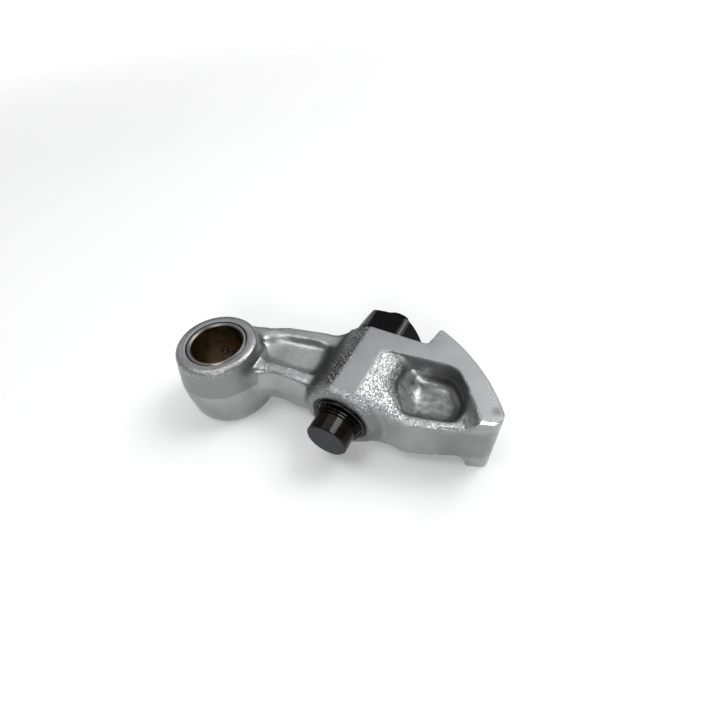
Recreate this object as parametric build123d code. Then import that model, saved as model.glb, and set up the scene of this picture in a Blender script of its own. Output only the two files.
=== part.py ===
"""Rocker arm: a cast aluminium lever with a bushed eye, a screw-set swivel foot and a curved sector end.

Millimetres. The origin is on the pivot bore's axis at half the part's thickness. +Z is the bore's
axis, +X runs from the eye to the sector end, and +Y points to the lock nut at the screw's back end.
The casting is the same above and below the plane Z = 0, which is its parting plane.
"""
from build123d import *
from math import cos, radians, sin, sqrt, tan
import os

# Half the thickness of the lever, across the eye's ends and across the sector's milled faces
half_height = 15.0

# Pivot eye and bush
eye_mid_radius = 18.2
eye_top_radius = 15.8
eye_low_radius = 17.3
eye_top_round = 1.3
eye_low_round = 2.0
eye_belly = 3.0
bush_outer_radius = 11.5
bush_bore_radius = 10.0
bush_recess = 0.2
bush_lead_in = 0.6
bush_edge = 0.3
bore_chamfer = 0.5
oil_hole_radius = 1.5
oil_hole_angle = 133.0

# Arm between the eye and the sector
arm_half_height = 9.3
arm_draft = 8.5
arm_edge_round = 1.8
arm_front_y = -1.0
arm_back_angle = 112.0
arm_back_kink = (17.0, 25.2)
arm_back_end = (38.5, 29.9)
arm_shoulder = 3.5
arm_eye_blend = 9.0
arm_seat_blend = 5.0
eye_root_round = 3.4
eye_root_lean = 38.0
eye_root_bite = 0.6
eye_root_step = 0.4

# Shallow pocket in each side of the arm
arm_pocket_depth = 2.9
arm_pocket_draft = 32.0
arm_pocket_rim = (
    (10.4, 12.8), (16.6, 4.3), (39.2, 5.2), (41.6, 10.2), (39.6, 21.9), (32.0, 21.4), (16.0, 18.9),
)
arm_pocket_rounds = (3.4, 5.0, 4.0, 4.4, 3.8, 8.0, 5.0)
arm_pocket_floor_round = 2.2

# Screw axis, boss and nut seat
screw_x = 54.5
boss_rise = 0.3
boss_root_round = 5.0
boss_front_y = -2.9
boss_front_round = 2.9
boss_set_down = 0.25
recess_depth = 1.9
seat_y = 32.5

# Sector plate, with the slipper arc from its back peak to its front tip
sector_front_y = 0.2
flank_front_y = 3.2
notch_x = 74.4
notch_round = 1.8
notch_wall_lean = 11.0
peak_rise = 9.8
peak_round = 0.8
tip = (110.15, 9.35)
tip_round = 4.2
tip_bevel = 1.2
tip_bevel_length = 16.0
arc_radius = 72.5
front_slope = 18.3
front_start_x = 79.0
front_start_round = 9.0

# Scooped pocket in the sector plate: a slope from the left rim, a level band and a wall below the arc
rim_left_x = 60.2
rim_back_width = 9.2
rim_back_slope = 6.5
rim_arc_width = 8.3
rim_corner = 2.2
tray_level = 8.9
tray_floor_x = 76.5
tray_step = 0.15
tray_hollow_round = 6.0
tray_corner = 4.2
tray_corner_run = 0.6
tray_back_run = 1.2
tray_arc_run = 4.6
tray_end_run = 3.2
tray_open_y = -4.0
tray_wall = ((1.5, 8.4), (1.18, 9.1), (0.9, 9.9), (0.62, 11.2), (0, half_height))

# Deep bowl in the scooped pocket
bowl_level = 2.7
bowl_rim = ((67.2, 23.3), (67.0, 12.2), (75.6, 3.6), (94.3, 8.3), (95.3, 17.6), (88.2, 25.9))
bowl_rim_rounds = (4.5, 7.0, 5.5, 4.2, 6.5, 4.5)
bowl_floor = ((75.4, 18.6), (75.2, 14.2), (79.6, 11.4), (86.6, 13.0), (87.6, 17.2), (84.2, 20.4))
bowl_floor_rounds = (1.8, 2.4, 2.0, 1.8, 2.2, 1.8)
bowl_wall = ((0, 0), (0.5, 0.08), (0.75, 0.25), (0.9, 0.47), (0.97, 0.67), (1, 1))

# Adjusting screw, lock nut, foot and stop ring
screw_radius = 7.0
thread_chamfer = 0.8
running_gap = 0.03
screw_tail = 8.0
screw_end_chamfer = 1.2
slot_width = 2.2
slot_depth = 2.6
nut_across_flats = 26.4
nut_height = 12.4
nut_chamfer = 30.0
nut_turn = 0.5
nut_face_inset = 0.6
nut_corner_round = 1.3
ball_radius = 4.5
ball_y = -7.4
neck_radius = 3.0
neck_flare = 0.6
shank_set_back = 1.3
ball_gap = 0.05
socket_grip = 1.0
foot_radius = 7.95
foot_end_y = -13.1
foot_end_chamfer = 0.5
collar_radius = 9.3
collar_front_y = -6.0
collar_step_radius = 8.6
collar_step = 0.9
foot_back_gap = 0.5
foot_back_relief = 1.2
foot_mouth_lean = 14.0
ring_outer_radius = 11.0
ring_bore_radius = 8.0
ring_set_back = 0.3
ring_round = 0.35

# Places and sizes worked out from those above
BOSS_RADIUS = half_height + boss_rise
SCREW_AXIS = Axis((screw_x, 0, 0), (0, 1, 0))
NUT_CORNER = nut_across_flats / 2 / cos(radians(30))
NUT_FAR_Y = seat_y + nut_height
PEAK = Vector(notch_x + peak_rise * tan(radians(notch_wall_lean)), seat_y + peak_rise)
TIP = Vector(*tip)
SHOULDER = (arm_back_end[0] + arm_shoulder, seat_y)
WIDE = 200.0


def slipper_centre():
    """Centre of the slipper arc, from its two ends and its radius."""
    half_chord = (TIP - PEAK) * 0.5
    inward = Vector(half_chord.Y, -half_chord.X).normalized()
    if inward.X > 0:
        inward = inward * -1
    return PEAK + half_chord + inward * sqrt(arc_radius ** 2 - half_chord.length ** 2)


ARC_CENTRE = slipper_centre()


def front_y(x):
    """Y of the upright front face at a given X."""
    return TIP.Y + (x - TIP.X) * tan(radians(front_slope))


def on_arc(radius, y):
    """Point at a given Y on a circle about the slipper arc's centre."""
    return Vector(ARC_CENTRE.X + sqrt(radius ** 2 - (y - ARC_CENTRE.Y) ** 2), y)


def halfway(radius, start, end):
    """Point of a circle about the slipper arc's centre, midway between two others on it."""
    return ARC_CENTRE + ((start + end) * 0.5 - ARC_CENTRE).normalized() * radius


def both_sides(shape):
    """A shape together with its mirror image below the parting plane."""
    return [shape, mirror(shape, about=Plane.XY)]


def rounded(face, place, radius):
    """A face with the corner nearest to a place rounded."""
    return fillet(face.vertices().sort_by_distance((place[0], place[1], 0))[0], radius)


def outline(points, rounds):
    """A closed polygon with its own rounding at each corner."""
    face = make_face(Polyline(*points, close=True))
    for place, radius in zip(points, rounds):
        face = rounded(face, place, radius)
    return face


def between(near, far, share):
    """Numbers or points part of the way from one list to another."""
    mixed = []
    for a, b in zip(near, far):
        if isinstance(a, tuple):
            mixed.append(tuple(u + (v - u) * share for u, v in zip(a, b)))
        else:
            mixed.append(a + (b - a) * share)
    return mixed


def turned_about_screw(points):
    """A closed profile of (radius, y) points, turned about the screw's axis."""
    profile = make_face(Polyline(*[(screw_x + r, y) for r, y in points], close=True))
    return revolve(profile, axis=SCREW_AXIS)


def eye():
    """Barrel round the bush, drafted from the parting plane and fuller below it."""
    barrel = revolve(Plane.XZ * make_face(Polyline(
        (0, -half_height),
        (eye_low_radius, -half_height),
        (eye_mid_radius, -eye_belly),
        (eye_mid_radius, 0),
        (eye_top_radius, half_height),
        (0, half_height),
        close=True,
    )), axis=Axis.Z)
    rims = barrel.edges().filter_by(GeomType.CIRCLE).sort_by(Axis.Z)
    barrel = fillet(rims[-1], eye_top_round)
    rims = barrel.edges().filter_by(GeomType.CIRCLE).sort_by(Axis.Z)
    return fillet(rims[0], eye_low_round)


def arm_plan():
    """Outline of the eye and the arm on the parting plane, with the blends between them."""
    turn = radians(arm_back_angle)
    web = make_face(Polyline(
        (0, 0),
        (eye_mid_radius * cos(turn), eye_mid_radius * sin(turn)),
        arm_back_kink,
        arm_back_end,
        SHOULDER,
        (screw_x, seat_y),
        (screw_x, arm_front_y),
        (0, arm_front_y),
        close=True,
    ))
    plan = Circle(eye_mid_radius) + web
    plan = rounded(plan, (sqrt(eye_mid_radius ** 2 - arm_front_y ** 2), arm_front_y), arm_eye_blend)
    return rounded(plan, arm_back_end, arm_seat_blend)


def eye_root():
    """Hollow blend that rises from the arm's top to the eye's barrel, kept inside the arm's outline."""
    rise = 1 - arm_half_height / half_height
    barrel_radius = eye_top_radius + (eye_mid_radius - eye_top_radius) * rise
    outer = barrel_radius + eye_root_round
    inner = barrel_radius - eye_root_bite
    base = arm_half_height - 0.02
    top = arm_half_height + eye_root_round
    profile = Plane.XZ * make_face([
        Line((0, 0), (outer, 0)),
        Line((outer, 0), (outer, base)),
        RadiusArc((outer, base), (inner, top), eye_root_round + eye_root_bite),
        Line((inner, top), (0, top)),
        Line((0, top), (0, 0)),
    ])
    cove = revolve(profile, axis=Axis.Z)
    return cove & extrude(offset(arm_plan(), amount=-eye_root_step), amount=top, taper=eye_root_lean)


def arm_pockets():
    """Shallow hollow in each side of the arm, open upwards through the root of the eye."""
    rim = Plane.XY.offset(arm_half_height) * outline(arm_pocket_rim, arm_pocket_rounds)
    cut = extrude(rim, amount=-arm_pocket_depth, taper=arm_pocket_draft)
    floor_z = arm_half_height - arm_pocket_depth
    cut = fillet(cut.edges().filter_by(lambda e: abs(e.center().Z - floor_z) < 0.01), arm_pocket_floor_round)
    cut += extrude(rim, amount=eye_root_round + 0.5, taper=-arm_pocket_draft)
    return both_sides(cut)


def arm():
    """The web of the arm with its root at the eye."""
    web = extrude(arm_plan(), amount=arm_half_height, taper=arm_draft, both=True)
    rims = web.edges().filter_by(lambda e: abs(abs(e.center().Z) - arm_half_height) < 0.01)
    web = fillet(rims, arm_edge_round)
    return web + both_sides(eye_root())


def sector_plan():
    """Outline of the sector plate and its flank, seen along the pivot axis."""
    front_start = (front_start_x, front_y(front_start_x))
    flank_x = screw_x - BOSS_RADIUS - boss_root_round / 2
    flank_back = (flank_x, arm_back_end[1] - 2 * arm_edge_round)
    plan = make_face([
        Line((flank_x, flank_front_y), flank_back),
        Line(flank_back, SHOULDER),
        Line(SHOULDER, (notch_x, seat_y)),
        Line((notch_x, seat_y), PEAK),
        ThreePointArc(PEAK, halfway(arc_radius, PEAK, TIP), TIP),
        Line(TIP, front_start),
        Line(front_start, (screw_x + BOSS_RADIUS, 0)),
        Line((screw_x + BOSS_RADIUS, 0), (screw_x, sector_front_y)),
        Line((screw_x, sector_front_y), (flank_x, flank_front_y)),
    ])
    plan = rounded(plan, (notch_x, seat_y), notch_round)
    plan = rounded(plan, (PEAK.X, PEAK.Y), peak_round)
    plan = rounded(plan, front_start, front_start_round)
    return rounded(plan, tip, tip_round)


def sector():
    """The plate, limited from the side by the round flank that falls to the arm's level."""
    base_z = arm_half_height - 0.02
    centre_z = base_z + boss_root_round
    reach = BOSS_RADIUS + boss_root_round
    root_x = screw_x - sqrt(reach ** 2 - centre_z ** 2)
    share = BOSS_RADIUS / reach
    meet = (screw_x + (root_x - screw_x) * share, centre_z * share)
    crest = (screw_x - sqrt(BOSS_RADIUS ** 2 - half_height ** 2), half_height)
    start_x = root_x - boss_root_round
    end_x = TIP.X + boss_root_round
    side = Plane.XZ * make_face([
        Line((start_x, 0), (start_x, base_z)),
        Line((start_x, base_z), (root_x, base_z)),
        RadiusArc((root_x, base_z), meet, -boss_root_round),
        RadiusArc(meet, crest, BOSS_RADIUS),
        Line(crest, (end_x, half_height)),
        Line((end_x, half_height), (end_x, 0)),
        Line((end_x, 0), (start_x, 0)),
    ])
    half = extrude(sector_plan(), amount=half_height) & extrude(side, amount=WIDE, both=True)
    return Part() + both_sides(half)


def boss():
    """The round swelling along the screw, from the foot's side to the nut's seat."""
    barrel = turned_about_screw([
        (0, boss_front_y),
        (BOSS_RADIUS, boss_front_y),
        (BOSS_RADIUS, seat_y),
        (0, seat_y),
    ])
    rim = barrel.edges().filter_by(GeomType.CIRCLE).sort_by(Axis.Y)[0]
    barrel = fillet(rim, boss_front_round)
    return barrel & Pos(screw_x, 0, 0) * Box(4 * BOSS_RADIUS, WIDE, 2 * (half_height - boss_set_down))


def tray_outline(corner, middle, end, back_left, z):
    """Open-fronted outline of the scooped pocket at one level, given its back wall and its arc."""
    front = tray_open_y * 3
    face = make_face([
        Line((back_left[0], front), back_left),
        Line(back_left, corner),
        ThreePointArc(corner, middle, end),
        Line(end, (end[0], front)),
        Line((end[0], front), (back_left[0], front)),
    ])
    face = rounded(face, corner, tray_corner)
    return Plane.XY.offset(z) * rounded(face, back_left, rim_corner)


def trays():
    """The scooped space in each side of the plate, open at the front."""
    radius = arc_radius - rim_arc_width
    back = seat_y - rim_back_width
    slope = tan(radians(rim_back_slope))
    corner = on_arc(radius, back)
    for step in range(20):
        corner = on_arc(radius, back + slope * (corner.X - rim_left_x))
    end = on_arc(radius, tray_open_y)
    middle = halfway(radius, corner, end)
    sections = []
    for share, z in tray_wall:
        run = tray_arc_run * share
        sections.append(tray_outline(
            (corner.X - tray_corner_run * share, corner.Y - tray_back_run * share),
            (middle.X - tray_corner_run * run, middle.Y - tray_corner_run * share),
            (end.X - run - tray_end_run * share, end.Y),
            (rim_left_x, back - tray_back_run * share),
            z,
        ))
    space = loft(sections, ruled=True)
    above = half_height + 3
    left = rim_left_x - 1
    fall = (half_height - tray_step - tray_level) / (tray_floor_x - rim_left_x)
    slope_start = half_height - tray_step + fall
    right = TIP.X + rim_arc_width
    side = make_face(Polyline(
        (left, slope_start),
        (tray_floor_x, tray_level),
        (right, tray_level),
        (right, above),
        (left, above),
        close=True,
    ))
    side = rounded(side, (tray_floor_x, tray_level), tray_hollow_round)
    space = space & extrude(Plane.XZ * side, amount=WIDE, both=True)
    return both_sides(space + extrude(sections[-1], amount=2))


def bowls():
    """The deep hollow in each scooped pocket: level after level, flat at the floor and steep at the rim."""
    levels = []
    for share, rise in bowl_wall:
        rounds = between(bowl_floor_rounds, bowl_rim_rounds, share)
        level = outline(between(bowl_floor, bowl_rim, share), rounds)
        levels.append(Plane.XY.offset(bowl_level + (tray_level - bowl_level) * rise) * level)
    hollow = loft(levels, ruled=True)
    return both_sides(hollow + extrude(levels[-1], amount=half_height - tray_level + 1))


def tip_bevels():
    """Sloping cuts along the upper and lower front edges of the slipper's tip."""
    lean = radians(front_slope)
    x = TIP.X - tip_round - 1
    outward = Vector(sin(lean), -cos(lean), 1).normalized()
    place = Plane(origin=(x, front_y(x), half_height), x_dir=(cos(lean), sin(lean), 0), z_dir=outward)
    cut = place.offset(-tip_bevel / sqrt(2)) * Rectangle(tip_bevel_length, 10 * tip_bevel)
    return both_sides(extrude(cut, amount=5 * tip_bevel))


def screw_bore():
    """The threaded bore with its recess for the stop ring at the front."""
    bore = screw_radius + running_gap
    recess_y = boss_front_y + recess_depth
    before = boss_front_y - recess_depth
    behind = seat_y + thread_chamfer
    return turned_about_screw([
        (0, before),
        (ring_outer_radius, before),
        (ring_outer_radius, recess_y),
        (bore, recess_y),
        (bore, seat_y - thread_chamfer),
        (bore + thread_chamfer, seat_y),
        (bore + thread_chamfer, behind),
        (0, behind),
    ])


def oil_hole(inner, outer):
    """A radial drilling at the oil hole's angle, from one radius to another."""
    x_dir = (cos(radians(oil_hole_angle)), sin(radians(oil_hole_angle)), 0)
    place = Plane(origin=Vector(*x_dir) * inner, x_dir=(0, 0, 1), z_dir=x_dir)
    return extrude(place * Circle(oil_hole_radius), amount=outer - inner)


def rocker_body():
    body = arm() + sector() + boss() - arm_pockets() + eye()
    body -= trays()
    body -= bowls()
    body -= screw_bore()
    body -= tip_bevels()
    body -= Cylinder(bush_outer_radius, 3 * half_height)
    rims = body.edges().filter_by(GeomType.CIRCLE)
    rims = rims.filter_by(lambda e: abs(abs(e.center().Z) - half_height) < 0.01
                          and abs(e.radius - bush_outer_radius) < 0.01)
    body = chamfer(rims, bore_chamfer)
    return body - oil_hole(bush_outer_radius - 2, eye_mid_radius + 2)


def pivot_bush():
    """Thin bush with a lead-in at each end of its bore, a little short of the eye's faces."""
    half = half_height - bush_recess
    profile = Plane.XZ * make_face(Polyline(
        (bush_bore_radius, -half + bush_lead_in),
        (bush_bore_radius + bush_lead_in, -half),
        (bush_outer_radius - bush_edge, -half),
        (bush_outer_radius, -half + bush_edge),
        (bush_outer_radius, half - bush_edge),
        (bush_outer_radius - bush_edge, half),
        (bush_bore_radius + bush_lead_in, half),
        (bush_bore_radius, half - bush_lead_in),
        close=True,
    ))
    bush = revolve(profile, axis=Axis.Z)
    return bush - oil_hole(bush_bore_radius - 2, bush_outer_radius + 2)


def adjusting_screw():
    """Stud with a ball end in front and a driver slot behind."""
    end_y = NUT_FAR_Y + screw_tail
    shank_y = boss_front_y + shank_set_back
    flare_y = shank_y - neck_flare
    ball_back = ball_y + sqrt(ball_radius ** 2 - neck_radius ** 2)
    ball_front = ball_y - ball_radius
    shank_x = screw_x + screw_radius
    neck_x = screw_x + neck_radius
    end_x = shank_x - screw_end_chamfer
    lead_x = shank_x - thread_chamfer
    profile = make_face([
        Line((screw_x, ball_front), (screw_x, end_y)),
        Line((screw_x, end_y), (end_x, end_y)),
        Line((end_x, end_y), (shank_x, end_y - screw_end_chamfer)),
        Line((shank_x, end_y - screw_end_chamfer), (shank_x, shank_y + thread_chamfer)),
        Line((shank_x, shank_y + thread_chamfer), (lead_x, shank_y)),
        Line((lead_x, shank_y), (neck_x + neck_flare, shank_y)),
        Line((neck_x + neck_flare, shank_y), (neck_x, flare_y)),
        Line((neck_x, flare_y), (neck_x, ball_back)),
        ThreePointArc((neck_x, ball_back), (screw_x + ball_radius, ball_y), (screw_x, ball_front)),
    ])
    screw = revolve(profile, axis=SCREW_AXIS)
    return screw - Pos(screw_x, end_y, 0) * Box(3 * screw_radius, 2 * slot_depth, slot_width)


def lock_nut():
    """Hexagon nut with eased corners, chamfered at both ends."""
    hexagon = RegularPolygon(NUT_CORNER, 6, rotation=nut_turn)
    hexagon = fillet(hexagon.vertices(), nut_corner_round)
    place = Plane(origin=(screw_x, seat_y, 0), x_dir=(1, 0, 0), z_dir=(0, 1, 0))
    nut = extrude(place * hexagon, amount=nut_height)
    face_radius = nut_across_flats / 2 - nut_face_inset
    drop = (NUT_CORNER - face_radius) * tan(radians(nut_chamfer))
    limit = turned_about_screw([
        (0, seat_y),
        (face_radius, seat_y),
        (NUT_CORNER, seat_y + drop),
        (NUT_CORNER, NUT_FAR_Y - drop),
        (face_radius, NUT_FAR_Y),
        (0, NUT_FAR_Y),
    ])
    thread = screw_radius + running_gap
    mouth = thread + thread_chamfer
    bore = turned_about_screw([
        (0, seat_y - 1),
        (mouth, seat_y - 1),
        (mouth, seat_y),
        (thread, seat_y + thread_chamfer),
        (thread, NUT_FAR_Y - thread_chamfer),
        (mouth, NUT_FAR_Y),
        (mouth, NUT_FAR_Y + 1),
        (0, NUT_FAR_Y + 1),
    ])
    return (nut & limit) - bore


def swivel_foot():
    """Cup with a stepped collar, closed around the ball just behind its middle."""
    socket_radius = ball_radius + ball_gap
    socket_front = ball_y - socket_radius
    mouth_y = ball_y + socket_grip
    mouth_x = screw_x + sqrt(socket_radius ** 2 - socket_grip ** 2)
    back_y = boss_front_y - foot_back_gap
    rim_y = back_y - foot_back_relief
    back_x = mouth_x + (back_y - mouth_y) * tan(radians(foot_mouth_lean))
    step_y = collar_front_y + collar_step
    foot_x = screw_x + foot_radius
    step_x = screw_x + collar_step_radius
    collar_x = screw_x + collar_radius
    bevel_x = foot_x - foot_end_chamfer
    side = Vector(1, -1).normalized() * socket_radius
    outside = make_face([
        Line((screw_x, foot_end_y), (bevel_x, foot_end_y)),
        Line((bevel_x, foot_end_y), (foot_x, foot_end_y + foot_end_chamfer)),
        Line((foot_x, foot_end_y + foot_end_chamfer), (foot_x, collar_front_y)),
        Line((foot_x, collar_front_y), (step_x, collar_front_y)),
        Line((step_x, collar_front_y), (step_x, step_y)),
        Line((step_x, step_y), (collar_x, step_y)),
        Line((collar_x, step_y), (collar_x, rim_y)),
        Line((collar_x, rim_y), (back_x, back_y)),
        Line((back_x, back_y), (mouth_x, mouth_y)),
        ThreePointArc((mouth_x, mouth_y), (screw_x + side.X, ball_y + side.Y), (screw_x, socket_front)),
        Line((screw_x, socket_front), (screw_x, foot_end_y)),
    ])
    return revolve(outside, axis=SCREW_AXIS)


def foot_stop_ring():
    """Dark ring pressed into the boss's recess, around the back of the foot."""
    front = boss_front_y + ring_set_back
    back = boss_front_y + recess_depth
    return turned_about_screw([
        (ring_bore_radius, front + ring_round),
        (ring_bore_radius + ring_round, front),
        (ring_outer_radius - ring_round, front),
        (ring_outer_radius, front + ring_round),
        (ring_outer_radius, back),
        (ring_bore_radius, back),
    ])


def write(name, shape):
    export_step(shape, f"parts/{name}.step")


os.makedirs("parts", exist_ok=True)
write("rocker_body", rocker_body())
write("pivot_bush", pivot_bush())
write("adjusting_screw", adjusting_screw())
write("lock_nut", lock_nut())
write("swivel_foot", swivel_foot())
write("foot_stop_ring", foot_stop_ring())
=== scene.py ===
"""Looks of the rocker arm: casting skin, milled faces, bush lining, black steel and the studio."""
import bmesh
import bpy
import math
import numpy as np
from mathutils import Matrix, Vector, noise


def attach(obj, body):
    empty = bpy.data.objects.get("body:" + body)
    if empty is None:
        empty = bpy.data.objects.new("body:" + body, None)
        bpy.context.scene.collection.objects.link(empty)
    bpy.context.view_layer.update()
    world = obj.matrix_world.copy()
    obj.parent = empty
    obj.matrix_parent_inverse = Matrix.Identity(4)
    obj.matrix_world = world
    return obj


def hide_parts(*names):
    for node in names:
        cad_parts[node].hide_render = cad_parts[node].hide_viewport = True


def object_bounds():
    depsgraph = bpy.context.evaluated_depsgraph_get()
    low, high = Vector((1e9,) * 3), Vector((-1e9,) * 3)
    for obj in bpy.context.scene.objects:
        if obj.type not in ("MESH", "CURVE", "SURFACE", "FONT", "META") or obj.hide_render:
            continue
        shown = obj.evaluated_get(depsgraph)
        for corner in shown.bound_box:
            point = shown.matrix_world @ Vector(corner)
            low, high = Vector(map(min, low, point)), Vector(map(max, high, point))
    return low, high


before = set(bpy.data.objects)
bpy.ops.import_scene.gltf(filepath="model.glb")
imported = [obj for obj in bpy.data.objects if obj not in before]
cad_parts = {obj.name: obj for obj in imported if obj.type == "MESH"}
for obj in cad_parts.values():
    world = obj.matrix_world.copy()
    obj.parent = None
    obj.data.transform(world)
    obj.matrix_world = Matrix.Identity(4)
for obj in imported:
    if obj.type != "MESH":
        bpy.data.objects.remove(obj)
cad_box = [list(corner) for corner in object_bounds()]
scene = bpy.context.scene
MM = 0.001

# Sizes of the part, in millimetres
half_height = 15.0
bush_radius = 11.5
bush_lining = 10.15
screw_x = 54.5
recess_radius = 11.0
recess_to_y = 1.5
seat_y = 32.5
seat_to_x = 74
arc_centre = (45.41, -23.29)
arc_radius = 72.5
arc_from_x = 77.2
plane_from_x = 30
eye_face_radius = 13.6
foot_end_y = -13.1
nut_far_y = 44.9
screw_end_y = 52.9

# Thread on the screw's end, in millimetres; a crest is given by how far along its edges lie
thread_radius = 7.0
thread_root = 6.1
thread_pitch = 1.5
thread_sink = 0.2
thread_foot = 1.4
thread_crest = (0.6, 0.8)
thread_start = 0.9
thread_end_gap = 1.6
steps_per_turn = 40

# Stop ring and its lip: radius and place along the screw, in millimetres
ring_inner = 8.0
ring_outer = 11.0
ring_front_y = -2.6
ring_back_y = -1.0
ring_bevel = 0.35
ring_steps = 96
lip_section = [(9.62, ring_front_y), (9.62, -3.3), (9.72, -3.48), (9.9, -3.56), (10.08, -3.48),
               (10.18, -3.3), (10.18, ring_front_y)]

# Skin of the casting, in millimetres; the rounds are how often a place is smoothed
skin_step = 0.42
corner_rounds = 8
root_rounds = 90
rim_rounds = 60
lip_rounds = 120
hollow_rounds = 220
weight_steps = 10
kept_share = 0.6
weld_distance = 0.002
grain_size = 1.05
grain_depth = 0.11
parting_height = 2.4
seam_width = 0.35
seam_rise = 0.07

# Marks of the cutting tools, in millimetres
mill_depth = 0.12
mill_wander = 0.035
face_depth = 0.15
bore_edge = 0.9
recess_edge = 0.35
bevel_from_x = 98
bevel_from_height = 12.6
bevel_forward = -0.3
bevel_leftward = -0.25
bevel_upward = 0.3
plane_upward = 0.6
tip_mark = (105.4, 13.2)
tip_mark_edge = (2.2, 3.8)

# The scoop's easy wall down into the bowl, in millimetres
bowl_left = 67.0
bowl_corner_y = 12.2
bowl_floor_z = 2.7
easy_wall_run = 11.5
easy_corner_start = 0.4
scoop_height = 11.9
scoop_fall = 0.32
under_scoop = 1.0
under_floor = 0.6
block_middle = (73.5, 14.5)
block_half = (8.5, 12.5)
block_base = 1.5
block_cells = (30, 44)

# Corners sharper than this many degrees stay sharp
casting_corner = 38
screw_corner = 30
ring_corner = 40

# Heights between which the casting is smooth in the bowl, in millimetres
bowl_rim_height = 9.0
easy_rim_rise = 1.4
bowl_rim_fade = 1.2
bowl_from_x = 60

# Regions of the casting. Each entry names a measure, where it counts nothing and where it counts
# in full; equal numbers make a step. A region is the product of its entries.
upright = ("upward", 0.75, 0.40)
open_to_sky = ("upward", 0.35, 0.8)
regions = {
    "bowl hollow": (("x", 65.5, 68), ("x", 97.5, 95.5), ("y", 3, 5), ("y", 28, 26),
                    ("high", 8.7, 7.9)),
    "arm pocket": (("x", 11.5, 14), ("x", 41.5, 39.5), ("y", 5, 7), ("y", 22, 20),
                   ("high", 9.9, 9.1)),
    "eye root": (("from_eye", 16.6, 18), ("from_eye", 26, 22), ("high", 5.5, 7.5),
                 ("high", 14, 12.5), ("x", 3, 3)),
    "flank root": (("x", 33, 36), ("x", 48, 45), ("high", 13, 11), ("high", 4, 7)),
    "scoop root": (("x", 62, 66), ("high", 14, 11.5), ("high", 7.5, 8.5), ("from_arc", 66, 65),
                   ("y", 2.5, 2.5)),
    "boss root": (("x", 58, 62), ("x", 78, 74), ("y", 4, 2), ("high", 14, 12),
                  ("from_screw", 12.2, 12.2)),
    "eye rim": (("from_eye", 13.8, 15), ("from_eye", 21, 19), ("high", 10.5, 12)),
    "left lip": (("x", 60.5, 63), ("x", 80, 75), ("y", 6, 12), ("y", 27, 24), ("high", 14, 13)),
    "right lip": (("from_arc", 55, 60), ("from_arc", 68, 66), ("high", 14.2, 12.7),
                  ("high", 5.5, 7.5), ("x", 82, 88), ("y", 24, 20)),
    "arm web": (("from_eye", 17, 18.5), ("from_eye", 30, 24), ("high", 5.5, 7),
                ("high", 13.5, 11.5), ("x", 8, 8)),
    "easy side": (("x", 76, 71), ("y", 8, 14)),
    "rough slope": (("x", 58, 62), open_to_sky),
    "rough flank": (("x", 42, 46), ("x", 53.5, 52.5), ("upward", 0.2, 0.5)),
    "rough arm rim": (("x", 19, 23), ("y", 9.4, 5.4), ("x", 40, 37), open_to_sky),
    "rough boss": (("x", 38, 44), ("x", 70, 66), ("y", 3, 0)),
    "rough wall": (("x", 84, 92), ("high", 8.6, 9.6), ("y", 14, 8), ("facing_y", -0.6, -0.3)),
    "rough eye rim": (("from_eye", 21, 20), ("high", 11.5, 13), ("y", 2, -6)),
    # Places where the colour is darkened as painted shade
    "shade on flank": (("x", 33, 39), ("x", 53.5, 52.5), ("facing_x", -0.05, -0.3), ("y", -3, 2),
                   ("high", 5, 8)),
    "shade on barrel top": (("from_eye", 19.5, 18.9), upright,
                    ("z", parting_height - 0.6, parting_height + 0.6)),
    "shade on bowl walls": (upright, ("x", 64, 68), ("y", 6, 9), ("high", 14.6, 13.8),
                   ("facing_x", 0.35, 0)),
    "shade on boss": (upright, ("from_screw", 17, 16), ("y", 1, -0.5)),
    "shade in bowl": (("x", 68, 76), ("y", 2, 5), ("high", 8.4, 6.9)),
    "shade in pocket": (upright, ("x", 15, 19), ("x", 44, 41), ("y", 8, 12), ("high", 12.5, 11.5),
                    ("facing_y", 0, -0.3)),
    # Places of painted glints on the bowl's floor and painted light on its easy wall
    "easy wall": (("x", 64, 68), ("x", 83, 78), ("facing_x", 0.12, 0.4)),
    "bowl floor": (("x", 70, 76), ("x", 97, 93), ("upward", 0.75, 0.95)),
    "bowl inside": (("y", 4, 7), ("y", 27, 24), ("high", 9.5, 7.5)),
    "seam": (("x", 44, 40), ("upward", 0.6, 0.3), ("from_eye", 13, 13)),
}

# How much of each region goes into a softening or a look
hollow_shares = {"bowl hollow": 1, "arm pocket": 0.6}
root_shares = {"eye root": 1, "flank root": 1, "scoop root": 1, "boss root": 1}
rim_shares = {"eye rim": 1}
lip_shares = {"left lip": 1, "right lip": 1, "arm web": 1}
rough_shares = {"rough slope": 1, "rough flank": 1, "rough arm rim": 0.8, "rough boss": 0.8,
                "rough wall": 1, "rough eye rim": 0.6}
# Painted shade: how much each place is darkened
painted_shade_shares = {"shade on flank": 0.95, "shade on barrel top": 0.35, "shade on bowl walls": 0.65, "shade on boss": 0.45,
               "shade in bowl": 0.35, "shade in pocket": 0.5}
# Painted glints on the bowl's floor and painted light lifting its easy wall
painted_glint_shares = {"easy wall": 1, "bowl floor": 0.3}
easy_wall_painted_light = 0.24

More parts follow.
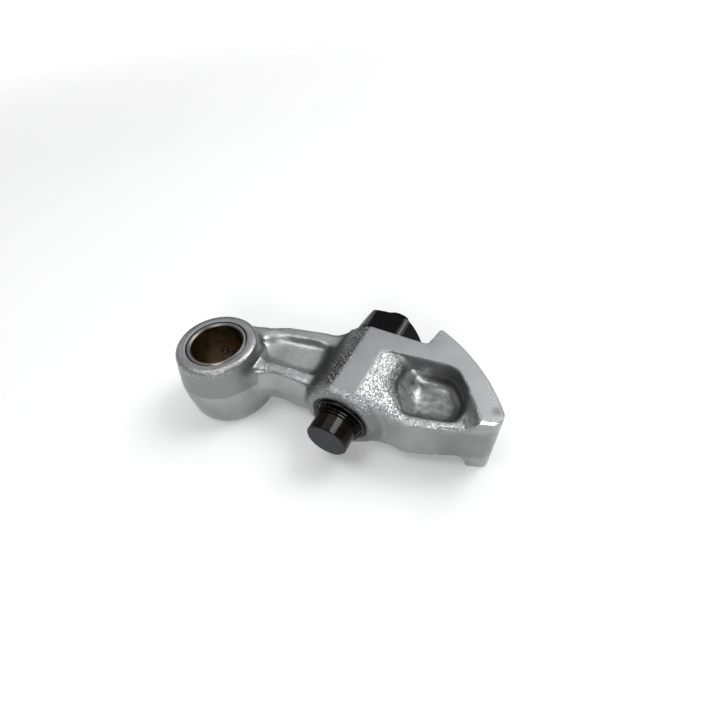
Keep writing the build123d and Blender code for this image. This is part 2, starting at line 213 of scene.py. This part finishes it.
# Colours
smooth_dark, smooth_light = (0.29, 0.298, 0.296), (0.38, 0.385, 0.382)
# Painted glints and the darker patches between them, and painted light, in the bowl
painted_glint_dark, painted_glint_light = (0.17, 0.173, 0.175), (0.85, 0.853, 0.855)
rough_dark, rough_light = (0.23, 0.232, 0.235), (0.63, 0.632, 0.636)
# Painted shade, and the painted white glints in it
painted_shade_dark, painted_glint_white = (0.045, 0.044, 0.042), (0.95, 0.95, 0.95)
milled_dark, milled_light = (0.25, 0.252, 0.257), (0.43, 0.433, 0.438)
tip_brown = (0.13, 0.115, 0.09)
# Painted highlight on the tip's bevel
painted_highlight_white = (0.92, 0.92, 0.92)
# Painted shade in the gap round the bush
painted_gap_shade = (0.02, 0.018, 0.015)
bronze_dark, bronze_light = (0.014, 0.008, 0.003), (0.20, 0.13, 0.06)
backing_steel = (0.36, 0.36, 0.365)
worn_steel = (0.12, 0.12, 0.125)
nut_dark, nut_light = (0.001, 0.001, 0.0012), (0.003, 0.003, 0.0034)
screw_dark, screw_light = (0.006, 0.006, 0.006), (0.014, 0.014, 0.015)
ring_dark, ring_light = (0.002, 0.002, 0.002), (0.005, 0.005, 0.005)
foot_dark, foot_light = (0.002, 0.0015, 0.0013), (0.010, 0.005, 0.003)
contact_dark, contact_light = (0.026, 0.029, 0.033), (0.038, 0.041, 0.046)
metal_share = 0.92

# Roughness, from the low to the high values of a noise, and where most of a noise's values lie
usual_noise = (0.3, 0.7)
cast_gloss = (0.25, 0.39)
dull_gloss = 0.2
milled_gloss = (0.46, 0.58)
bevel_gloss = 0.22
bush_gloss = (0.24, 0.38)
contact_gloss, foot_gloss = 0.6, 0.12
nut_gloss = (0.34, 0.46)
screw_gloss = (0.28, 0.42)
ring_gloss = (0.2, 0.3)

# Distance from the screw's axis over which black steel is worn bright, in millimetres
nut_worn = (14.7, 15.4)
screw_worn = (6.9, 7.9)
ring_worn = (10.9, 11.9)

# Studio, in metres and watts: name, power, width and place of each light
studio_middle = (0.048, 0.010, 0)
lights = [("key_light", 5.0, 0.50, (0.44, 0.57, 0.88)),
          ("ceiling_light", 4.2, 1.2, (-0.10, 0.62, 0.98)),
          ("overhead_light", 2.2, 0.45, (-0.20, -0.20, 0.92)),
          ("front_light", 2.2, 0.30, (0.36, -0.66, 0.46))]
air_colour = (0.95, 0.97, 1.0, 1)
air_strength = 0.16
floor_half_width = 3
floor_gap = 0.02
floor_grey = 0.93
floor_glow = 0.12
wall_radius = 0.75
wall_height = 3
wall_steps = 96
sweep_radius = 0.30
sweep_rise = 0.001
sweep_fade = (0.32, 0.68)

# Camera, in metres, degrees and millimetres
camera_place = (0.104695, -0.073641, 0.130047)
camera_turns = (41.354, 2.534, 26.479)
camera_lens = 21.0
camera_sensor = 36.0


# Node helpers

def new_finish(name):
    """A material with only a shader and its output."""
    finish = bpy.data.materials.new(name)
    finish.use_nodes = True
    nodes = finish.node_tree.nodes
    nodes.clear()
    out = nodes.new("ShaderNodeOutputMaterial")
    shader = nodes.new("ShaderNodeBsdfPrincipled")
    finish.node_tree.links.new(shader.outputs["BSDF"], out.inputs["Surface"])
    return finish, shader


def join(finish, source, target):
    finish.node_tree.links.new(source, target)


def object_place(finish, scale=(1, 1, 1), shift=(0, 0, 0)):
    """Object coordinates in metres, stretched and moved."""
    nodes = finish.node_tree.nodes
    place = nodes.new("ShaderNodeTexCoord")
    mapping = nodes.new("ShaderNodeMapping")
    mapping.inputs["Scale"].default_value = scale
    mapping.inputs["Location"].default_value = shift
    join(finish, place.outputs["Object"], mapping.inputs["Vector"])
    return mapping.outputs["Vector"]


def grain(finish, per_metre, detail=3.0, roughness=0.55, scale=(1, 1, 1)):
    """Value of a noise with so many cells in a metre."""
    cells = finish.node_tree.nodes.new("ShaderNodeTexNoise")
    cells.inputs["Scale"].default_value = per_metre
    cells.inputs["Detail"].default_value = detail
    cells.inputs["Roughness"].default_value = roughness
    join(finish, object_place(finish, scale), cells.inputs["Vector"])
    return cells.outputs["Fac"]


def spread(finish, value, low, high, to_low=0, to_high=1):
    """A value stretched from one range to another and clamped."""
    node = finish.node_tree.nodes.new("ShaderNodeMapRange")
    node.inputs["From Min"].default_value = low
    node.inputs["From Max"].default_value = high
    node.inputs["To Min"].default_value = to_low
    node.inputs["To Max"].default_value = to_high
    join(finish, value, node.inputs["Value"])
    return node.outputs["Result"]


def work(finish, operation, a, b=0.0):
    """A sum, product or other result of two values, either of which may be a plain number."""
    node = finish.node_tree.nodes.new("ShaderNodeMath")
    node.operation = operation
    for socket, value in zip(node.inputs, (a, b)):
        if isinstance(value, (int, float)):
            socket.default_value = value
        else:
            join(finish, value, socket)
    return node.outputs["Value"]


def blend_colours(finish, share, dark, light):
    """A colour between two, by a share."""
    node = finish.node_tree.nodes.new("ShaderNodeMix")
    node.data_type = "RGBA"
    for socket, colour in ((node.inputs[6], dark), (node.inputs[7], light)):
        if isinstance(colour, tuple):
            socket.default_value = (*colour, 1.0)
        else:
            join(finish, colour, socket)
    join(finish, share, node.inputs[0])
    return node.outputs[2]


def relief(finish, height, depth_mm, strength=1.0, under=None):
    """A bump of a depth in millimetres, laid over another bump."""
    node = finish.node_tree.nodes.new("ShaderNodeBump")
    node.inputs["Strength"].default_value = strength
    node.inputs["Distance"].default_value = depth_mm * MM
    join(finish, height, node.inputs["Height"])
    if under is not None:
        join(finish, under, node.inputs["Normal"])
    return node.outputs["Normal"]


def split_place(finish, shift=(0, 0, 0)):
    """Object coordinates taken apart into X, Y and Z."""
    split = finish.node_tree.nodes.new("ShaderNodeSeparateXYZ")
    join(finish, object_place(finish, shift=shift), split.inputs["Vector"])
    return split


def length_of(finish, a, b):
    """Length of the two-dimensional arrow with these sides."""
    squares = [work(finish, "MULTIPLY", side, side) for side in (a, b)]
    return work(finish, "POWER", work(finish, "ADD", *squares), 0.5)


def distance_from_axis(finish, one="X", other="Y", shift=(0, 0, 0)):
    """Distance in metres from a line that runs along the axis left out."""
    place = split_place(finish, shift)
    return length_of(finish, place.outputs[one], place.outputs[other])


def stored(finish, name):
    """A value stored on the piece's own points."""
    node = finish.node_tree.nodes.new("ShaderNodeAttribute")
    node.attribute_name = name
    return node.outputs["Fac"]


# Finishes

def smooth_skin(finish, broad):
    """Colour of the smooth casting: a slow change of grey, with painted glints and darker patches
    on the bowl's floor and painted light on its easy wall.
    """
    streak = grain(finish, 120, detail=4, scale=(1, 1, 6))
    tone = work(finish, "ADD", work(finish, "MULTIPLY", broad, 0.75),
                work(finish, "MULTIPLY", streak, 0.25))
    plain = blend_colours(finish, spread(finish, tone, 0.36, 0.62), smooth_dark, smooth_light)
    # Painted glints with darker patches between them on the bowl's floor, and painted light lifting
    # the easy wall
    patches = grain(finish, 420, detail=1.5, roughness=0.4)
    painted_glints = work(finish, "ADD", patches, stored(finish, "painted_light_lift"))
    painted_glint_colour = blend_colours(finish, spread(finish, painted_glints, 0.42, 0.74),
                            painted_glint_dark, painted_glint_light)
    return blend_colours(finish, stored(finish, "painted_glints"), plain, painted_glint_colour)


def cast_aluminium():
    """Shot-blasted casting: smooth in the hollows, coarse, creased and glittering on the slopes,
    with painted shade and painted glints in set places, painted shade along the creases, and
    painted glints and painted light in the bowl.
    """
    finish, shader = new_finish("cast_aluminium")
    coarse = stored(finish, "coarse")
    broad = grain(finish, 70, detail=3)
    dimple = grain(finish, 420, detail=2)
    pebble = grain(finish, 1000, detail=2, roughness=0.5)
    glitter = grain(finish, 2300, detail=2, roughness=0.6)
    fine = grain(finish, 5200, detail=2)
    wave = grain(finish, 820, detail=3, roughness=0.6, scale=(1.5, 0.8, 1))
    off_middle = work(finish, "ABSOLUTE", work(finish, "SUBTRACT", wave, 0.5))
    crease = spread(finish, off_middle, 0.0, 0.05)
    # Grain tone of the rough skin from the glitter noise, darkened along the creases as painted
    # crease shade
    sparkle = work(finish, "MULTIPLY", spread(finish, glitter, 0.34, 0.58, 0.1, 1),
                   spread(finish, crease, 0, 1, 0.62, 1))
    rough_colour = blend_colours(finish, sparkle, rough_dark, rough_light)
    skin = blend_colours(finish, coarse, smooth_skin(finish, broad), rough_colour)
    # Painted white glints on the coarse skin inside the painted shade
    glints = work(finish, "MULTIPLY", spread(finish, glitter, 0.575, 0.67), coarse)
    dull = blend_colours(finish, glints, painted_shade_dark, painted_glint_white)
    # Painted shade, varied by a broad noise
    painted_shade = work(finish, "MULTIPLY", stored(finish, "painted_shade"),
                 spread(finish, broad, *usual_noise, 0.75, 1.0))
    join(finish, blend_colours(finish, painted_shade, skin, dull), shader.inputs["Base Color"])
    shader.inputs["Metallic"].default_value = metal_share
    rough = work(finish, "ADD", spread(finish, fine, *usual_noise, *cast_gloss),
                 work(finish, "MULTIPLY", painted_shade, dull_gloss))
    join(finish, rough, shader.inputs["Roughness"])
    share = work(finish, "ADD", work(finish, "MULTIPLY", coarse, 0.8), 0.2)
    bumps = relief(finish, fine, 0.04, 0.5)
    bumps = relief(finish, dimple, 0.20, 0.7, bumps)
    bumps = relief(finish, work(finish, "MULTIPLY", glitter, share), 0.14, 0.9, bumps)
    bumps = relief(finish, work(finish, "MULTIPLY", crease, coarse), 0.12, 0.7, bumps)
    bumps = relief(finish, work(finish, "MULTIPLY", pebble, share), 0.26, 0.8, bumps)
    join(finish, bumps, shader.inputs["Normal"])
    return finish


def milled_aluminium():
    """Face-milled plane: even satin with a fine grain, a brown mark at the tip, a painted highlight
    on the tip's bevel and painted shade in the gap round the bush.
    """
    finish, shader = new_finish("milled_aluminium")
    fine = grain(finish, 2600, detail=3, roughness=0.65)
    broad = grain(finish, 90, detail=3)
    pits = grain(finish, 1500, detail=3, roughness=0.65)
    strokes = grain(finish, 300, detail=2, scale=(8, 1, 1))
    tone = work(finish, "ADD", work(finish, "MULTIPLY", broad, 0.15),
                work(finish, "MULTIPLY", fine, 0.85))
    colour = blend_colours(finish, spread(finish, tone, 0.38, 0.62), milled_dark, milled_light)
    away = distance_from_axis(finish, shift=(-tip_mark[0] * MM, -tip_mark[1] * MM, 0))
    away = work(finish, "ADD", away, work(finish, "MULTIPLY", pits, 0.003))
    mark = spread(finish, away, tip_mark_edge[0] * MM, tip_mark_edge[1] * MM, 0.6, 0)
    marked = blend_colours(finish, mark, colour, tip_brown)
    # Painted shade in the gap round the bush, on the casting's faces near the bore
    gap_shade_share = spread(finish, distance_from_axis(finish),
                   (bush_radius + 0.3) * MM, (bush_radius + 0.5) * MM, 1, 0)
    # Painted highlight on the tip's bevel, which is also made smoother there
    bright = stored(finish, "bright")
    faced = blend_colours(finish, bright, marked, painted_highlight_white)
    join(finish, blend_colours(finish, gap_shade_share, faced, painted_gap_shade), shader.inputs["Base Color"])
    shader.inputs["Metallic"].default_value = metal_share
    rough = work(finish, "SUBTRACT", spread(finish, fine, *usual_noise, *milled_gloss),
                 work(finish, "MULTIPLY", bright, bevel_gloss))
    join(finish, rough, shader.inputs["Roughness"])
    bumps = relief(finish, strokes, 0.02, 0.35)
    bumps = relief(finish, pits, 0.05, 0.5, bumps)
    join(finish, relief(finish, fine, 0.06, 0.6, bumps), shader.inputs["Normal"])
    return finish


def bush_metal():
    """Wrapped bush: oiled bronze lining inside, bright steel at its rims."""
    finish, shader = new_finish("bush_metal")
    radius = distance_from_axis(finish)
    backing = spread(finish, radius, (bush_lining - 0.1) * MM, (bush_lining + 0.1) * MM)
    warm = spread(finish, split_place(finish).outputs["X"], -bush_lining * MM, 0, 0.16, 0)
    patch = work(finish, "ADD", grain(finish, 150, detail=4), warm)
    lining = blend_colours(finish, spread(finish, patch, 0.38, 0.66), bronze_dark, bronze_light)
    join(finish, blend_colours(finish, backing, lining, backing_steel), shader.inputs["Base Color"])
    shader.inputs["Metallic"].default_value = 0.95
    join(finish, spread(finish, patch, *usual_noise, *bush_gloss), shader.inputs["Roughness"])
    join(finish, relief(finish, grain(finish, 2600, detail=2), 0.02, 0.4), shader.inputs["Normal"])
    return finish


def black_steel(name, dark, light, gloss, worn_span, shine=0.05):
    """Blackened steel, rubbed bright where it stands furthest out from the screw's axis."""
    finish, shader = new_finish(name)
    patch = grain(finish, 220, detail=4)
    fine = grain(finish, 3600, detail=2)
    radius = distance_from_axis(finish, "X", "Z", (-screw_x * MM, 0, 0))
    radius = work(finish, "ADD", radius, work(finish, "MULTIPLY", patch, 0.0006))
    worn = spread(finish, radius, worn_span[0] * MM, worn_span[1] * MM)
    black = blend_colours(finish, spread(finish, patch, 0.35, 0.65), dark, light)
    join(finish, blend_colours(finish, worn, black, worn_steel), shader.inputs["Base Color"])
    join(finish, work(finish, "MULTIPLY", worn, 0.85), shader.inputs["Metallic"])
    join(finish, spread(finish, patch, *usual_noise, *gloss), shader.inputs["Roughness"])
    shader.inputs["Specular IOR Level"].default_value = shine
    join(finish, relief(finish, fine, 0.012, 0.5), shader.inputs["Normal"])
    return finish


def ground_foot():
    """Foot: polished black sides with turning marks, and a dull phosphated contact face."""
    finish, shader = new_finish("ground_foot")
    side = spread(finish, split_place(finish).outputs["Y"],
                  (foot_end_y + 0.05) * MM, (foot_end_y + 0.4) * MM)
    patch = grain(finish, 260, detail=3)
    sides = blend_colours(finish, spread(finish, patch, 0.4, 0.65), foot_dark, foot_light)
    face = blend_colours(finish, spread(finish, patch, 0.35, 0.65), contact_dark, contact_light)
    join(finish, blend_colours(finish, side, face, sides), shader.inputs["Base Color"])
    shader.inputs["Metallic"].default_value = 0.0
    join(finish, spread(finish, side, 0, 1, contact_gloss, foot_gloss), shader.inputs["Roughness"])
    shader.inputs["Specular IOR Level"].default_value = 0.22
    rings = grain(finish, 50, detail=2, scale=(0.3, 60, 0.3))
    join(finish, relief(finish, rings, 0.01, 0.3), shader.inputs["Normal"])
    return finish


# Places on the casting

def measures(place, facing):
    """What the regions are given in: lengths in millimetres and parts of the normal."""
    x, y, z = place.T
    return {"x": x, "y": y, "z": z, "high": np.abs(z),
            "from_eye": np.hypot(x, y),
            "from_arc": np.hypot(x - arc_centre[0], y - arc_centre[1]),
            "from_screw": np.hypot(x - screw_x, z),
            "facing_x": facing[:, 0], "facing_y": facing[:, 1], "upward": np.abs(facing[:, 2])}


def ramp(value, none, full):
    """0 on the side of none, 1 on the side of full, and a smooth change between."""
    share = np.clip((value - none) / (full - none), 0, 1)
    return share * share * (3 - 2 * share)


def region(name, at):
    """How far each point is inside a region, from 0 to 1."""
    share = 1.0
    for measure, none, full in regions[name]:
        share = share * (at[measure] > none if none == full else ramp(at[measure], none, full))
    return share


def together(shares, at):
    """Regions laid over one another by their shares, from 0 to 1."""
    return np.clip(sum(share * region(name, at) for name, share in shares.items()), 0, 1)


def on_bevel(at):
    """The bevel between the plane and the front face at the tip, which gets a painted highlight."""
    near = (at["x"] > bevel_from_x) & (at["high"] > bevel_from_height)
    forward = (at["facing_y"] < bevel_forward) & (at["facing_x"] > bevel_leftward)
    return near & forward & (at["upward"] > bevel_upward)


def cut_faces(at):
    """Where the casting was machined after it left the mould: the mill's edge wanders a little."""
    x, y = at["x"], at["y"]
    wander = mill_wander * (np.sin(y * 0.9) + np.sin(y * 2.3 + 1.0) + np.sin(x * 1.7 + y * 0.6))
    plane = (at["high"] > half_height - mill_depth + wander) & (at["upward"] > plane_upward)
    plane = plane & ((x > plane_from_x) | (at["from_eye"] < eye_face_radius))
    arc = (np.abs(at["from_arc"] - arc_radius) < face_depth) & (x > arc_from_x)
    bore = at["from_eye"] < bush_radius + bore_edge
    recess = (at["from_screw"] < recess_radius + recess_edge) & (y < recess_to_y)
    seat = (np.abs(y - seat_y) < face_depth) & (x < seat_to_x)
    return plane | on_bevel(at) | arc | bore | recess | seat


def rough_skin(at):
    """How coarse the casting's skin is at each point: nothing in the bowls or on cut faces."""
    rim_height = bowl_rim_height + easy_rim_rise * region("easy side", at)
    bowl = ramp(rim_height - at["high"], 0.0, bowl_rim_fade) * (at["x"] > bowl_from_x)
    return together(rough_shares, at) * (1 - bowl) * ~cut_faces(at)


# Pieces

def merged_copy(node, name):
    """A joined-up copy of a CAD node's mesh as a new piece."""
    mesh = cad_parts[node].data.copy()
    mesh.name = name
    bm = bmesh.new()
    bm.from_mesh(mesh)
    bmesh.ops.remove_doubles(bm, verts=bm.verts, dist=weld_distance * MM)
    bm.to_mesh(mesh)
    bm.free()
    return placed(mesh)


def placed(mesh):
    """A new object in the scene, named after its mesh."""
    holder = bpy.data.objects.new(mesh.name, mesh)
    scene.collection.objects.link(holder)
    return holder


def settle(piece):
    """The piece's modifiers made part of its mesh."""
    piece.data.update()
    graph = bpy.context.evaluated_depsgraph_get()
    mesh = bpy.data.meshes.new_from_object(piece.evaluated_get(graph))
    piece.modifiers.clear()
    piece.data = mesh


def read_all(items, name):
    """A three-part value of every point or face, one row each."""
    values = np.empty(len(items) * 3)
    items.foreach_get(name, values)
    return values.reshape(-1, 3)


def points_of(mesh):
    """Places in millimetres and normals of a mesh's points."""
    return read_all(mesh.vertices, "co") / MM, read_all(mesh.vertex_normals, "vector")


def shade_smooth(mesh, sharp_degrees):
    """Smooth shading, but for corners sharper than an angle."""
    mesh.polygons.foreach_set("use_smooth", np.ones(len(mesh.polygons), bool))
    mesh.set_sharp_from_angle(angle=math.radians(sharp_degrees))


def wear(mesh, *finishes):
    """The mesh with these finishes and no others."""
    mesh.materials.clear()
    for finish in finishes:
        mesh.materials.append(finish)


def stand_for(piece, node, body):
    """The piece shown in place of a CAD node and on its body."""
    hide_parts(node)
    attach(piece, body)


def soften(piece, group, weights, rounds):
    """Smooth the points that have a weight, so many times over."""
    points = piece.vertex_groups.new(name=group)
    levels = np.round(weights * weight_steps).astype(int)
    for level in range(1, weight_steps + 1):
        chosen = np.nonzero(levels == level)[0].tolist()
        if chosen:
            points.add(chosen, level / weight_steps, "REPLACE")
    smooth = piece.modifiers.new(group, "SMOOTH")
    smooth.vertex_group = group
    smooth.factor = 0.5
    smooth.iterations = rounds


def easy_wall_height(x, y):
    """Height of the scoop's long easy run down into the bowl from its left and near edges."""
    scoop = scoop_height - scoop_fall * (x - bowl_left)
    from_corner = (x - bowl_left + y - bowl_corner_y) * math.sqrt(0.5) + easy_corner_start
    inside = min(x - bowl_left, from_corner)
    if inside < 0:
        return scoop - under_scoop
    along = min(inside / easy_wall_run, 1.0)
    fall = 0.5 * along + 0.5 * along * along * (3 - 2 * along)
    return scoop + (bowl_floor_z - under_floor - scoop) * fall


def fill_easy_walls(piece):
    """A block in each bowl under its easy wall, later grown into the casting by the remesh."""
    bm = bmesh.new()
    bm.from_mesh(piece.data)
    for side in (1, -1):
        middle = Matrix.Translation(Vector((*block_middle, block_base * side)) * MM)
        stretch = Matrix.Diagonal((block_half[0] * MM, block_half[1] * MM, 1, 1))
        grid = bmesh.ops.create_grid(bm, x_segments=block_cells[0], y_segments=block_cells[1],
                                     size=1, matrix=middle @ stretch)
        faces = list(dict.fromkeys(face for point in grid["verts"] for face in point.link_faces))
        block = bmesh.ops.extrude_face_region(bm, geom=faces, use_keep_orig=True)
        for point in block["geom"]:
            if isinstance(point, bmesh.types.BMVert):
                point.co.z = side * MM * easy_wall_height(point.co.x / MM, point.co.y / MM)
    bm.to_mesh(piece.data)
    bm.free()


def mould(piece):
    """The body's skin made anew, with the soft corners, roots and hollows of its mould."""
    skin = piece.modifiers.new("skin", "REMESH")
    skin.mode = "VOXEL"
    skin.voxel_size = skin_step * MM
    settle(piece)
    at = measures(*points_of(piece.data))
    left = ~cut_faces(at)
    soften(piece, "corners", left * 1.0, corner_rounds)
    soften(piece, "roots", left * together(root_shares, at), root_rounds)
    soften(piece, "eye rim", left * together(rim_shares, at), rim_rounds)
    soften(piece, "lips", left * together(lip_shares, at), lip_rounds)
    soften(piece, "hollows", left * together(hollow_shares, at), hollow_rounds)
    settle(piece)


def raise_grain(mesh):
    """The grain of the rough skin and the mould's seam, kept inside the CAD box, and the looks of
    each point stored on the mesh."""
    place, facing = points_of(mesh)
    at = measures(place, facing)
    coarse = rough_skin(at)
    seam = np.exp(-((at["z"] - parting_height) / seam_width) ** 2) * region("seam", at)
    pebbles = np.array([noise.noise(Vector(spot) / grain_size) for spot in place])
    lift = pebbles * coarse * grain_depth + seam * seam_rise
    place = np.clip((place + facing * lift[:, None]) * MM, *cad_box)
    mesh.vertices.foreach_set("co", place.ravel())
    at = measures(place / MM, facing)
    inside = region("bowl inside", at)
    # Stored looks: painted shade with painted glints on the flank, boss and walls, painted glints
    # and painted light in the bowl, and the bevel's painted highlight
    layers = {"coarse": coarse, "painted_shade": together(painted_shade_shares, at), "bright": on_bevel(at) * 1.0,
              "painted_glints": together(painted_glint_shares, at) * inside,
              "painted_light_lift": easy_wall_painted_light * region("easy wall", at) * inside}
    for name, value in layers.items():
        layer = mesh.attributes.new(name, "FLOAT", "POINT")
        layer.data.foreach_set("value", value.astype(np.float32))
    mesh.update()


def casting(cast, milled):
    """The rocker's body with the skin of its mould and its cut faces."""
    piece = merged_copy("rocker_body", "rocker_casting")
    fill_easy_walls(piece)
    mould(piece)
    raise_grain(piece.data)
    thin = piece.modifiers.new("thin", "DECIMATE")
    thin.ratio = kept_share
    settle(piece)
    mesh = piece.data
    wear(mesh, cast, milled)
    at = measures(read_all(mesh.polygons, "center") / MM, read_all(mesh.polygons, "normal"))
    mesh.polygons.foreach_set("material_index", cut_faces(at).astype(np.int32))
    shade_smooth(mesh, casting_corner)
    mesh.update()
    stand_for(piece, "rocker_body", "arm")


def threaded_screw(finish):
    """The adjusting screw with a real thread on the end that stands out of the nut."""
    piece = merged_copy("adjusting_screw", "threaded_screw")
    mesh = piece.data
    bm = bmesh.new()
    bm.from_mesh(mesh)
    axis = Vector((screw_x * MM, 0, 0))
    for point in bm.verts:
        out = Vector((point.co.x - axis.x, 0, point.co.z))
        if point.co.y > (nut_far_y - 1) * MM and out.length > thread_root * MM:
            point.co += out.normalized() * (thread_root * MM - out.length)
    start = nut_far_y - thread_start
    across = [(thread_root - thread_sink, 0.0), (thread_root - thread_sink, thread_foot),
              (thread_radius, thread_crest[1]), (thread_radius, thread_crest[0])]
    corners = [bm.verts.new((axis.x + radius * MM, (start + along) * MM, 0))
               for radius, along in across]
    ridge = bm.faces.new(corners)
    turns = (screw_end_y - thread_end_gap - start) / thread_pitch
    steps = round(turns * steps_per_turn)
    bmesh.ops.spin(bm, geom=[ridge] + list(ridge.edges) + corners, cent=axis, axis=(0, 1, 0),
                   dvec=(0, thread_pitch * MM * turns / steps, 0), angle=math.tau * turns,
                   steps=steps, use_merge=False)
    bmesh.ops.recalc_face_normals(bm, faces=bm.faces)
    bm.to_mesh(mesh)
    bm.free()
    shade_smooth(mesh, screw_corner)
    wear(mesh, finish)
    stand_for(piece, "adjusting_screw", "screw")


def lipped_ring(finish):
    """The stop ring with the thin lip that catches the light around the foot."""
    bm = bmesh.new()
    half_section = [(ring_inner, ring_back_y), (ring_inner, ring_front_y + ring_bevel),
                    (ring_inner + ring_bevel, ring_front_y), *lip_section,
                    (ring_outer - ring_bevel, ring_front_y),
                    (ring_outer, ring_front_y + ring_bevel), (ring_outer, ring_back_y)]
    corners = [bm.verts.new(((screw_x + radius) * MM, along * MM, 0))
               for radius, along in half_section]
    sides = [bm.edges.new((one, two)) for one, two in zip(corners, corners[1:] + corners[:1])]
    bmesh.ops.spin(bm, geom=corners + sides, cent=Vector((screw_x * MM, 0, 0)), axis=(0, 1, 0),
                   angle=math.tau, steps=ring_steps, use_merge=True)
    bmesh.ops.recalc_face_normals(bm, faces=bm.faces)
    mesh = bpy.data.meshes.new("lipped_ring")
    bm.to_mesh(mesh)
    bm.free()
    piece = placed(mesh)
    shade_smooth(mesh, ring_corner)
    wear(mesh, finish)
    stand_for(piece, "foot_stop_ring", "arm")


def dress(node, finish):
    """A CAD node with its finish on every face."""
    wear(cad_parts[node].data, finish)


# Studio

def lamp(name, power, width, place):
    """A square soft light at a place, facing the middle of the part."""
    light = bpy.data.lights.new(name, "AREA")
    light.shape = "SQUARE"
    light.energy = power
    light.size = width
    holder = bpy.data.objects.new(name, light)
    holder.location = place
    aim = Vector(studio_middle) - Vector(place)
    holder.rotation_euler = aim.to_track_quat("-Z", "Y").to_euler()
    scene.collection.objects.link(holder)


def stage_piece(name, bm, finish):
    """A part of the studio, which is no part of the object."""
    mesh = bpy.data.meshes.new(name)
    bm.to_mesh(mesh)
    bm.free()
    mesh.materials.append(finish)
    holder = placed(mesh)
    return holder


def studio_floor():
    """A pale matt floor under the part."""
    bm = bmesh.new()
    bmesh.ops.create_grid(bm, x_segments=1, y_segments=1, size=floor_half_width)
    bmesh.ops.translate(bm, verts=bm.verts, vec=(0, 0, -(half_height + floor_gap) * MM))
    finish, shader = new_finish("pale_floor")
    shader.inputs["Base Color"].default_value = (floor_grey, floor_grey, floor_grey, 1)
    shader.inputs["Roughness"].default_value = 0.9
    shader.inputs["Specular IOR Level"].default_value = 0.1
    shader.inputs["Emission Color"].default_value = (1, 1, 1, 1)
    shader.inputs["Emission Strength"].default_value = floor_glow
    stage_piece("floor", bm, finish)


def backdrop():
    """A white round wall with a sweep that fades into the floor: it closes the picture and
    lights nothing."""
    bm = bmesh.new()
    bmesh.ops.create_cone(bm, segments=wall_steps, radius1=wall_radius, radius2=wall_radius,
                          depth=wall_height, cap_ends=False)
    low = Matrix.Translation((0, 0, sweep_rise / 2 - half_height * MM))
    bmesh.ops.create_cone(bm, segments=wall_steps, radius1=sweep_radius, radius2=wall_radius,
                          depth=sweep_rise, cap_ends=False, matrix=low)
    finish, shader = new_finish("pale_wall")
    shader.inputs["Base Color"].default_value = (0, 0, 0, 1)
    shader.inputs["Emission Color"].default_value = (1, 1, 1, 1)
    shader.inputs["Emission Strength"].default_value = 1.0
    away = distance_from_axis(finish)
    join(finish, spread(finish, away, *sweep_fade), shader.inputs["Alpha"])
    wall = stage_piece("backdrop", bm, finish)
    wall.visible_diffuse = False
    wall.visible_glossy = False
    wall.visible_transmission = False
    wall.visible_shadow = False


def studio():
    """Pale floor, white backdrop and soft light from above, a little behind and to the right."""
    studio_floor()
    backdrop()
    for light in lights:
        lamp(*light)
    world = bpy.data.worlds.new("studio_air")
    world.use_nodes = True
    world.node_tree.nodes["Background"].inputs["Color"].default_value = air_colour
    world.node_tree.nodes["Background"].inputs["Strength"].default_value = air_strength
    scene.world = world
    scene.view_settings.view_transform = "Standard"


def photo_camera():
    """The camera that took the photograph: above the foot's side and to the right."""
    lens = bpy.data.cameras.new("photo_camera")
    lens.lens = camera_lens
    lens.sensor_width = camera_sensor
    lens.clip_start = 0.01
    holder = bpy.data.objects.new("photo_camera", lens)
    holder.location = camera_place
    holder.rotation_euler = [math.radians(turn) for turn in camera_turns]
    scene.collection.objects.link(holder)
    scene.camera = holder


casting(cast_aluminium(), milled_aluminium())
dress("pivot_bush", bush_metal())
dress("lock_nut", black_steel("nut_black", nut_dark, nut_light, nut_gloss, nut_worn))
screw_black = black_steel("screw_black", screw_dark, screw_light, screw_gloss, screw_worn)
dress("adjusting_screw", screw_black)
threaded_screw(screw_black)
ring_black = black_steel("ring_black", ring_dark, ring_light, ring_gloss, ring_worn, shine=0.5)
dress("foot_stop_ring", ring_black)
lipped_ring(ring_black)
dress("swivel_foot", ground_foot())
studio()
photo_camera()
